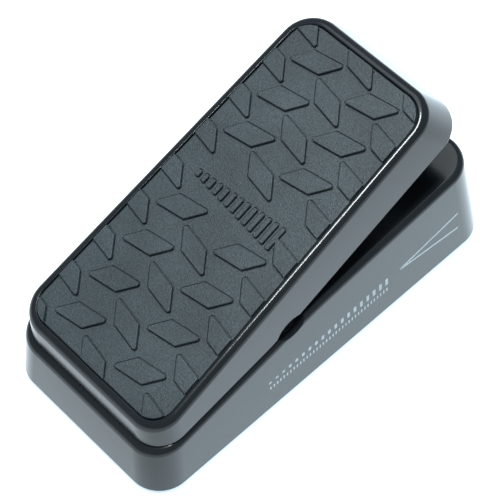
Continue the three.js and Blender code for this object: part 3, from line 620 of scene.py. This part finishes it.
def line(first, second):
    slope = (second[1] - first[1]) / (second[0] - first[0])
    return slope, first[1] - slope * first[0]


def skirt_line():
    """The treadle's lower edge: it clears the base evenly, heel down behind the kink, toe down before it."""
    kink = (BASE["kink_y"], BASE["kink_top"])
    heel = (BASE["heel"], BASE["heel_top"])
    toe = (BASE["toe"], BASE["toe_top"])
    back = [into_treadle(y, z + TREADLE["heel_gap"], TILT) for y, z in (heel, kink)]
    front = [into_treadle(y, z + TREADLE["toe_gap"], TILT - TRAVEL) for y, z in (kink, toe)]
    back_slope, back_start = line(*back)
    front_slope, front_start = line(*front)
    kink_y = (front_start - back_start) / (back_slope - front_slope)
    kink_z = back_start + back_slope * kink_y
    return lambda y: kink_z + soft_kink(y, kink_y, back_slope, front_slope, TREADLE["bend"])


SKIRT = skirt_line()
MAT_FLOOR = TREADLE["crest"] - MAT["recess"]


def treadle_body():
    crest, wall, lip = TREADLE["crest"], TREADLE["wall"], TREADLE["lip"]
    rim, inner = TREADLE["rim_fillet"], TREADLE["inner_fillet"]
    recess = TREADLE["edge"] + MAT["inset"] - MAT["gap"]

    def loop(height, inset):
        return outline(treadle_spread, height, inset, TREADLE["corner"], TREADLE_STATIONS)

    def level(z, inset):
        return loop(lambda y: z, inset)

    loops = [level(MAT_FLOOR, recess)]
    for inset, drop in reversed(fillet(inner)):
        loops.append(level(crest - drop, recess - inset))
    loops += [level(crest - drop, inset) for inset, drop in fillet(rim)]
    for inset, rise in reversed(fillet(lip, EDGE_STEPS)):
        loops.append(loop(lambda y, r=rise: SKIRT(y) + r, inset))
    for inset, rise in fillet(lip, EDGE_STEPS):
        loops.append(loop(lambda y, r=rise: SKIRT(y) + r, wall - inset))
    loops.append(level(MAT_FLOOR - TREADLE["plate"], wall))
    bm = bmesh.new()
    skin_across(bm, loops)
    return finished(bm, "treadle_casting_body", in_treadle)


def treadle_casting():
    piece = treadle_body()
    notch(piece, -1, NOTCH["treadle_inside"])
    weigh(dress(piece, ENAMEL, "treadle", "treadle_casting"))


# ---------------------------------------------------------------- the rubber mat
MAT_TOP = MAT_FLOOR + MAT["gap"] + MAT["thick"]
MAT_INSET = TREADLE["edge"] + MAT["inset"]


def flat_plan(inset):
    """The treadle's top outline drawn in by inset, as flat points."""
    crest = TREADLE["crest"]
    loop = outline(treadle_spread, lambda y: crest, inset, TREADLE["corner"], TREADLE_STATIONS)
    return [Vector((p.x, p.y)) for p in loop]


def mat_body(bm):
    rings = [(MAT_INSET + i, MAT_TOP - d) for i, d in fillet(MAT["fillet"], steps=4)]
    rings.append((MAT_INSET, MAT_FLOOR + MAT["gap"]))
    skin_across(bm, [[Vector((p.x, p.y, z)) for p in flat_plan(inset)] for inset, z in rings])


def clipped(shape, fence):
    """The part of a convex outline inside another, both anticlockwise."""
    for start, end in zip(fence, fence[1:] + fence[:1]):
        edge = end - start
        kept = []
        sides = [edge.x * (p.y - start.y) - edge.y * (p.x - start.x) for p in shape]
        for i, point in enumerate(shape):
            before, a, b = shape[i - 1], sides[i - 1], sides[i]
            if (a < 0) != (b < 0):
                kept.append(before + (point - before) * a / (a - b))
            if b >= 0:
                kept.append(point)
        shape = kept
        if len(shape) < 3:
            return []
    return shape


def spaced(shape):
    """Drops points that sit on their neighbour."""
    least = MAT["least_step"]
    kept = []
    for point in shape:
        if not kept or (point - kept[-1]).length > least:
            kept.append(point)
    while len(kept) > 2 and (kept[0] - kept[-1]).length <= least:
        kept.pop()
    return kept


def drawn_in(shape, by):
    """A convex outline moved inwards by a small distance."""
    least_lean = 0.5
    result = []
    for i, point in enumerate(shape):
        before = (point - shape[i - 1]).normalized()
        after = (shape[(i + 1) % len(shape)] - point).normalized()
        inward = Vector((-(before.y + after.y), before.x + after.x)).normalized()
        lean = max(inward.dot(Vector((-before.y, before.x))), least_lean)
        result.append(point + inward * by / lean)
    return result


def raised_pad(bm, shape, rise, edge):
    """A low pad on the mat with a rounded top edge."""
    shape = spaced(shape)
    if len(shape) < 3:
        return
    steps = [(0.0, -MAT["pad_root"]), (0.0, rise - edge)]
    for t in arc(0, math.pi / 2, EDGE_STEPS)[1:]:
        steps.append((edge * (1 - math.cos(t)), rise - edge * (1 - math.sin(t))))
    prism(bm, [[Vector((p.x, p.y, MAT_TOP + z)) for p in drawn_in(shape, inset)] for inset, z in steps])


LEANING_UP = [Vector(p) for p in ((-8.7, -4.60), (3.4, -2.65), (8.7, 4.60), (-3.4, 2.65))]
LEANING_DOWN = [Vector(p) for p in ((-8.9, 4.60), (-3.2, -2.6), (8.9, -4.60), (3.2, 2.6))]
MARK_ROW = 3                     # gives way to the raised mark, with the middle lozenge half a row on
MARK = {
    "bars": 13, "pitch": 2.9, "y": 16.8, "half_width": 0.75, "corner": 0.4, "least": 1.1, "growth": 3.1,
    "rise": 0.945, "edge": 0.15,
}


def lozenges():
    """(outline, column, row) of every lozenge: the rows that lean down lie halfway between the others."""
    for row in range(LOZENGE["rows"]):
        if row != MARK_ROW:
            for column in (-1, 1):
                yield LEANING_UP, column, row
    for row in range(-1, LOZENGE["rows"]):
        for column in (-2, 0, 2):
            if column or row != MARK_ROW:
                yield LEANING_DOWN, column, row + 0.5


def lozenge_place(column, row):
    """The middle of a lozenge: columns draw together as the treadle narrows towards the toe."""
    y = LOZENGE["first_row"] - LOZENGE["row"] * row
    along = (y - TREADLE["heel"]) / (TREADLE["toe"] - TREADLE["heel"])
    pitch = LOZENGE["heel_pitch"] + (LOZENGE["toe_pitch"] - LOZENGE["heel_pitch"]) * along
    return Vector((column * pitch + LOZENGE["shift"], y))


def raised_mark():
    """A plain row of bars that grow from left to right, for louder."""
    last = MARK["bars"] - 1
    for i in range(MARK["bars"]):
        half = MARK["least"] + MARK["growth"] * i / last
        yield bar((i - last / 2) * MARK["pitch"], MARK["y"], MARK["half_width"], half, MARK["corner"])


def moat(bm, shape, fence):
    """A prism that cuts a narrow groove round a pad: the pad itself fills the rest of it."""
    shape = spaced(clipped(drawn_in(spaced(shape), -MAT["moat"]), fence))
    if len(shape) < 3:
        return
    levels = (MAT_TOP - MAT["moat_depth"], MAT_TOP + BEYOND)
    prism(bm, [[Vector((p.x, p.y, z)) for p in shape] for z in levels])


def tread_rubber():
    body, moats, pads = bmesh.new(), bmesh.new(), bmesh.new()
    mat_body(body)
    fence = flat_plan(MAT_INSET + MAT["pad_margin"])
    inner_fence = flat_plan(MAT_INSET + MAT["fillet"] + MAT["moat_margin"])
    for shape, column, row in lozenges():
        place = lozenge_place(column, row)
        placed = [point + place for point in rounded(shape, LOZENGE["round"])]
        raised_pad(pads, clipped(placed, fence), LOZENGE["rise"], LOZENGE["edge"])
        moat(moats, placed, inner_fence)
    for shape in raised_mark():
        raised_pad(pads, shape, MARK["rise"], MARK["edge"])
        moat(moats, shape, inner_fence)
    piece = finished(body, "tread_rubber", in_treadle, SOFT_SMOOTH)
    carve(piece, finished(moats, "moats", in_treadle), crossing=True)
    raised = finished(pads, "pads", in_treadle, SOFT_SMOOTH)
    both = bmesh.new()
    both.from_mesh(piece.data)
    both.from_mesh(raised.data)
    both.to_mesh(piece.data)
    both.free()
    bpy.data.objects.remove(raised)
    piece.data.set_sharp_from_angle(angle=rad(SOFT_SMOOTH))
    weigh(dress(piece, MAT_RUBBER, "treadle", "tread_mat"))


# -------------------------------------------------------------------- small parts
CAP = {"radius": 4.6, "chamfer": 0.25, "dome": 0.65, "clear": 0.1}
FOOT = {"radius": 7.2, "rim": 0.9, "rim_turn": rad(78), "hollow": 0.45, "hollow_radius": 4.4}
FOOT_LIP = [(5.0, 0.12), (5.5, 0)]
BUMPER = {"radius": 4.5, "height": 2.8, "rim": 0.9, "lift": 0.1}
SCREW = {
    "head": 2.9, "rim": 0.3, "shank": 1.4, "root": 1.18, "tip": 1.1, "tip_length": 0.4,
    "pitch": 0.7, "thread_start": 1.2, "plain": 2, "slot": 1.5, "slot_half": 0.32, "slot_depth": 0.9,
}
COVER = {"gap": 0.3, "edge": 0.25, "hole": 2.0}
JACK = {
    "frame": 6, "frame_edge": 0.5, "gap": 0.3, "tube": 4.7, "root": 4.5, "neck": 4.6, "lip": 4.3,
    "chamfer": 0.45, "rings": 6, "pitch": 0.6, "first_ring": 0.9, "bore": 3.2, "mouth": 3.8,
    "mouth_start": 0.5, "mouth_end": 0.1,
}
WASHER = {"radius": 6.9, "rim": 6.75, "edge": 0.6, "thick": 0.8}
NUT = {"bore": 5.0, "flat": 6.2, "corner": 0.3, "overlap": 0.05, "cone": 8.5, "cone_drop": 1.2, "face": 6.1}


def pivot_cap(side):
    """The glossy domed cap on one end of the axle."""
    name = "left" if side < 0 else "right"
    node = f"axle_cap_{name}"
    start, end = span_of(node, "x")
    radius, chamfer = CAP["radius"], CAP["chamfer"]
    height = NOTCH["wall"] - CAP["clear"] - min(abs(start), abs(end))
    rise = CAP["dome"] * height
    dome = [(radius * math.cos(t), height - rise + rise * math.sin(t)) for t in arc(0, rad(90), 10)]
    profile = [(0, 0), (radius - chamfer, 0), (radius, chamfer)] + dome[:-1] + [(0, height)]
    root = end if side < 0 else start
    profile = [(r, root + side * h) for r, h in profile]
    piece = lathe(f"pivot_cap_{name}", "x", profile, pivot, smooth=SOFT_SMOOTH)
    dress(piece, NYLON, "treadle", node)


def rubber_foot(node):
    """A moulded foot: a slightly hollow sole with a rounded rim."""
    at = centre(node)
    radius, rim, height = FOOT["radius"], FOOT["rim"], BASE["floor"]
    edge = [(radius - rim + rim * math.sin(t), rim - rim * math.cos(t)) for t in arc(0, FOOT["rim_turn"], 6)]
    sole = [(0, FOOT["hollow"]), (FOOT["hollow_radius"], FOOT["hollow"])] + FOOT_LIP
    profile = sole + edge + [(radius, height), (0, height)]
    name = node.replace("rubber_foot", "foot")
    piece = lathe(name, "z", profile, (at.x, at.y, 0), smooth=SOFT_SMOOTH)
    dress(piece, BLACK_RUBBER, "base", node)


def bumper_disc(node):
    """A rubber disc on the base's sloping top."""
    at = centre(node)
    slope = BASE_SLOPES[0] if at.y < BASE["kink_y"] else BASE_SLOPES[1]
    height, radius, rim = BUMPER["height"], BUMPER["radius"], BUMPER["rim"]
    edge = [(radius - rim + rim * math.cos(t), height - rim + rim * math.sin(t)) for t in arc(0, rad(90), 6)]
    profile = [(0, BUMPER["lift"]), (radius, BUMPER["lift"])] + edge + [(0, height)]
    spot = Vector((at.x, at.y, base_top(at.y))) * MM
    seat = Matrix.Translation(spot) @ Matrix.Rotation(math.atan(slope), 4, "X")
    name = node.replace("bumper", "bump_stop")
    piece = lathe(name, "z", profile, (0, 0, 0), seat, smooth=SOFT_SMOOTH)
    dress(piece, BLACK_RUBBER, "base", node)


def cross_slot(at, reach, width, start, end):
    """A cutter for a cross recess in a screw's head."""
    long_way = block("slot", (at.x - reach, at.y - width, start), (at.x + reach, at.y + width, end))
    other = block("slot", (at.x - width, at.y - reach, start), (at.x + width, at.y + reach, end))
    return carve(long_way, other, "UNION")


def plate_screw(node):
    """A pan-head screw with a cross recess, and rings for its thread."""
    at = centre(node)
    start, end = span_of(node, "z")
    head, rim, shank, root = SCREW["head"], SCREW["rim"], SCREW["shank"], SCREW["root"]
    face, pitch = BASE["floor"], SCREW["pitch"]
    rise = face - rim - start
    dome = [(head * math.sin(t), face - rim - rise * math.cos(t)) for t in arc(0, rad(90), 8)]
    thread = []
    for i in range(int((end - face - SCREW["plain"]) / pitch)):
        z = face + SCREW["thread_start"] + pitch * i
        thread += [(root, z), (shank, z + pitch / 2)]
    tip = [(SCREW["tip"], end - SCREW["tip_length"]), (0, end)]
    profile = dome + [(head, face), (root, face)] + thread + tip
    name = node.replace("plate_screw", "pan_screw")
    piece = lathe(name, "z", profile, (at.x, at.y, 0), steps=SCREW_STEPS, smooth=THREAD_SMOOTH)
    slot_end = start + SCREW["slot_depth"]
    carve(piece, cross_slot(at, SCREW["slot"], SCREW["slot_half"], start - BEYOND, slot_end))
    weigh(dress(piece, ZINC, "base", node))


def bottom_cover():
    """The steel plate underneath, with its screw holes."""
    start, end = span_of("bottom_plate", "z")
    gap, edge = COVER["gap"], COVER["edge"]

    def loop(z, more):
        toe = BASE["inner_toe"] - gap - more
        inset = BASE["wall"] + gap + more
        flat = outline(base_spread, lambda y: BASE["floor"], inset, BASE["corner"], BASE_STATIONS, toe)
        return [Vector((p.x, p.y, z)) for p in flat]

    bm = bmesh.new()
    rings = [(start, edge + HOLD), (start, edge), (start + edge, 0), (end - edge, 0), (end, edge)]
    skin_across(bm, [loop(z, more) for z, more in rings])
    piece = finished(bm, "bottom_cover")
    for node in SCREWS:
        at = centre(node)
        hole = (start - BEYOND, end + BEYOND, (at.x, at.y, 0), SCREW_STEPS)
        carve(piece, cylinder("screw_cutter", "z", COVER["hole"], *hole))
    weigh(dress(piece, BLACK_STEEL, "base", "bottom_plate"))


def jack_sleeve(name, x):
    """The threaded tube of a jack and the square frame behind the panel."""
    node = f"jack_{name}_sleeve"
    back, face = span_of(node, "y")
    front = BASE["inner_toe"] - JACK["gap"]
    half, tube_radius, pitch = JACK["frame"], JACK["tube"], JACK["pitch"]
    frame_part = block("jack_frame", (x - half, back, JACK_Z - half), (x + half, front, JACK_Z + half))
    soften(frame_part, lambda middle: True, JACK["frame_edge"])
    thread = []
    for i in range(JACK["rings"]):
        y = face - JACK["first_ring"] - pitch * i
        thread += [(tube_radius, y), (JACK["root"], y - pitch / 2)]
    lip = [(0, face), (JACK["lip"], face), (tube_radius, face - JACK["chamfer"])]
    profile = lip + thread + [(JACK["neck"], front - BEYOND), (0, front - BEYOND)]
    tube = lathe(f"phone_jack_{name}", "y", profile, (x, 0, JACK_Z), smooth=THREAD_SMOOTH)
    carve(tube, frame_part, "UNION")
    mouth = [
        (0, back - BEYOND), (JACK["bore"], back - BEYOND), (JACK["bore"], face - JACK["mouth_start"]),
        (JACK["mouth"], face + JACK["mouth_end"]), (JACK["mouth"], face + BEYOND), (0, face + BEYOND),
    ]
    carve(tube, lathe("mouth_cutter", "y", mouth, (x, 0, JACK_Z)))
    weigh(dress(tube, NICKEL, "base", node))


def jack_nut(name, x):
    """A chamfered hexagon nut on a flat washer."""
    node = f"jack_{name}_nut"
    start, end = span_of(node, "y")
    bore, radius, washer_end = NUT["bore"], WASHER["radius"], start + WASHER["thick"]
    washer = [
        (bore, start), (radius, start), (radius, start + WASHER["edge"]), (WASHER["rim"], washer_end),
        (bore, washer_end), (bore, start),
    ]
    ring = lathe(f"panel_nut_{name}", "y", washer, (x, 0, JACK_Z))
    reach = NUT["flat"] / math.cos(rad(30))
    turns = [rad(60 * i + 30) for i in range(6)]
    shape = rounded([Vector((reach * math.cos(t), reach * math.sin(t))) for t in turns], NUT["corner"], 3)
    bm = bmesh.new()
    levels = (washer_end - NUT["overlap"], end)
    prism(bm, [[Vector((x + p.x, y, JACK_Z + p.y)) for p in shape] for y in levels])
    nut = finished(bm, "nut_body")
    wide, slope_start = NUT["cone"], end - NUT["cone_drop"]
    cone = [(0, start), (wide, start), (wide, slope_start), (NUT["face"], end), (0, end)]
    carve(nut, lathe("nut_cone", "y", cone, (x, 0, JACK_Z)), "INTERSECT")
    carve(nut, cylinder("nut_bore", "y", bore, start, end + BEYOND, (x, 0, JACK_Z)))
    carve(ring, nut, "UNION")
    weigh(dress(ring, NICKEL, "base", node))


# ------------------------------------------------------------ print on the side
INK = {"proud": 0.05, "root": 0.1}


def printed(name, shapes):
    """Thin ink shapes on the base's right wall, each an outline of (y, height above the base's edge)."""
    bm = bmesh.new()
    lean = math.tan(BASE["side_draft"])
    for shape in shapes:
        wall = [Vector((BASE["half"] - p.y * lean, p.x, BASE["floor"] + p.y)) for p in shape]
        prism(bm, [[spot + Vector((out, 0, 0)) for spot in wall] for out in (-INK["root"], INK["proud"])])
    dress(finished(bm, name), PRINT, "base", slot="painted_casting")


def scale_marks():
    """Two rows of plain ticks, as on a level scale: a row that grows over a fine, even one."""
    start, length = -26, 53
    count, foot, least, growth, half_width, corner = 19, 14.2, 0.45, 1.25, 0.62, 0.3
    for i in range(count):
        half = least + growth * i / (count - 1)
        yield bar(start + length * i / (count - 1), foot + half, half_width, half, corner)
    count, middle, half, half_width, corner = 37, 11.6, 0.8, 0.3, 0.2
    for i in range(count):
        yield bar(start + length * i / (count - 1), middle, half_width, half, corner)


def swell_mark():
    """A hairpin, the plain sign for growing louder: two thin strokes that open towards the toe."""
    start, end, middle, opening, thick = 33.0, 61.0, 16.5, 4.0, 0.9
    for way in (-1, 1):
        open_end = middle + way * opening
        corners = ((start, middle - thick / 2), (end, open_end - thick / 2),
                   (end, open_end + thick / 2), (start, middle + thick / 2))
        yield [Vector(p) for p in corners]


# ------------------------------------------------------- camera, floor and light
VIEW = {
    "azimuth": rad(48.80), "elevation": rad(57.28), "roll": rad(-2.72), "distance": 637.6,
    "target": Vector((-3.07, 1.78, 22.2)), "lens": 139.2,
}
AIM = Vector((0, 0, 0.04))       # the point that both lights face
LIGHTS = {
    "panel": {"place": (-0.24, 0.26, 0.94), "size": (0.50, 0.50), "power": 1.5, "colour": (0.88, 0.97, 1.0)},
    "key": {"place": (0.05, -0.12, 1.18), "size": (0.10, 0.60), "power": 13.0, "colour": (0.92, 0.98, 1.0)},
}
SKY = {"colour": (0.80, 0.92, 1.0, 1), "strength": 0.28}
# The glow and its edges: away from the middle line, and in Y up to the heel.
TABLE = {
    "reach": 4000, "pale": (0.91, 0.91, 0.91), "white": (0.94, 0.94, 0.94), "tint": (0.66, 0.87, 1.0, 1),
    "side_glow": (1.15, 0.40), "side_edges": (0.058, 0.100),
    "heel_glow": (0.32, 1.15), "heel_edges": (-0.092, -0.062),
}


def camera():
    a, e, roll = VIEW["azimuth"], VIEW["elevation"], VIEW["roll"]
    right = Vector((math.cos(a), math.sin(a), 0))
    up = Vector((-math.sin(a) * math.sin(e), math.cos(a) * math.sin(e), math.cos(e)))
    back = right.cross(up)
    data = bpy.data.cameras.new("camera")
    data.lens = VIEW["lens"]
    data.clip_start = 0.01
    eye = bpy.data.objects.new("camera", data)
    turned_right = right * math.cos(roll) + up * math.sin(roll)
    turned_up = up * math.cos(roll) - right * math.sin(roll)
    turn = Matrix((turned_right, turned_up, back)).transposed().to_4x4()
    eye.matrix_world = Matrix.Translation((VIEW["target"] + back * VIEW["distance"]) * MM) @ turn
    bpy.context.scene.collection.objects.link(eye)
    bpy.context.scene.camera = eye


def softbox(name, place, size, power, colour):
    """An area light, placed in metres, that faces the pedal."""
    data = bpy.data.lights.new(name, "AREA")
    data.shape = "RECTANGLE"
    data.size, data.size_y = size
    data.energy = power
    data.color = colour
    light = bpy.data.objects.new(name, data)
    turn = (AIM - Vector(place)).to_track_quat("-Z", "Y").to_matrix().to_4x4()
    light.matrix_world = Matrix.Translation(place) @ turn
    bpy.context.scene.collection.objects.link(light)


def studio():
    for name, light in LIGHTS.items():
        softbox(name, **light)
    world = bpy.data.worlds.new("studio")
    world.use_nodes = True
    background = world.node_tree.nodes["Background"]
    background.inputs["Color"].default_value = SKY["colour"]
    background.inputs["Strength"].default_value = SKY["strength"]
    bpy.context.scene.world = world
    bpy.context.scene.view_settings.view_transform = "Standard"


def floor():
    """A white light table: it glows, so the pedal's sides mirror it and no shadow falls on it.

    The glow fades to both sides and behind the heel, and the lesser of the two fades counts.
    """
    bm = bmesh.new()
    bmesh.ops.create_grid(bm, x_segments=1, y_segments=1, size=TABLE["reach"])
    piece = finished(bm, "floor")
    nodes = Nodes("floor")
    colour = nodes.ramp(nodes.noise(3), [(0.3, TABLE["pale"]), (0.7, TABLE["white"])])
    nodes.link(colour, nodes.shader.inputs["Base Color"])
    nodes.set(Roughness=0.8, Emission_Color=TABLE["tint"])
    apart = nodes.tree.nodes.new("ShaderNodeSeparateXYZ")
    nodes.link(nodes.place, apart.inputs["Vector"])
    aside = nodes.calc("ABSOLUTE", apart.outputs["X"])
    across = nodes.span(aside, *TABLE["side_glow"], *TABLE["side_edges"])
    along = nodes.span(apart.outputs["Y"], *TABLE["heel_glow"], *TABLE["heel_edges"])
    nodes.link(nodes.calc("MINIMUM", across, along), nodes.shader.inputs["Emission Strength"])
    piece.data.materials.append(nodes.material)


# ------------------------------------------------------------------- the making
camera()
studio()
floor()
for node, cad in frame["nodes"].items():
    cad.data.materials.clear()
    cad.data.materials.append(BY_SLOT[SLOT_OF[node]])

base_casting()
treadle_casting()
tread_rubber()
for hand in (-1, 1):
    pivot_cap(hand)
for node in frame["nodes"]:
    if node.startswith("rubber_foot"):
        rubber_foot(node)
    elif node.startswith("bumper"):
        bumper_disc(node)
    elif node in SCREWS:
        plate_screw(node)
bottom_cover()
for jack_name, jack_x in zip(JACKS, JACK_X):
    jack_sleeve(jack_name, jack_x)
    jack_nut(jack_name, jack_x)
printed("level_scale_print", scale_marks())
printed("swell_print", swell_mark())
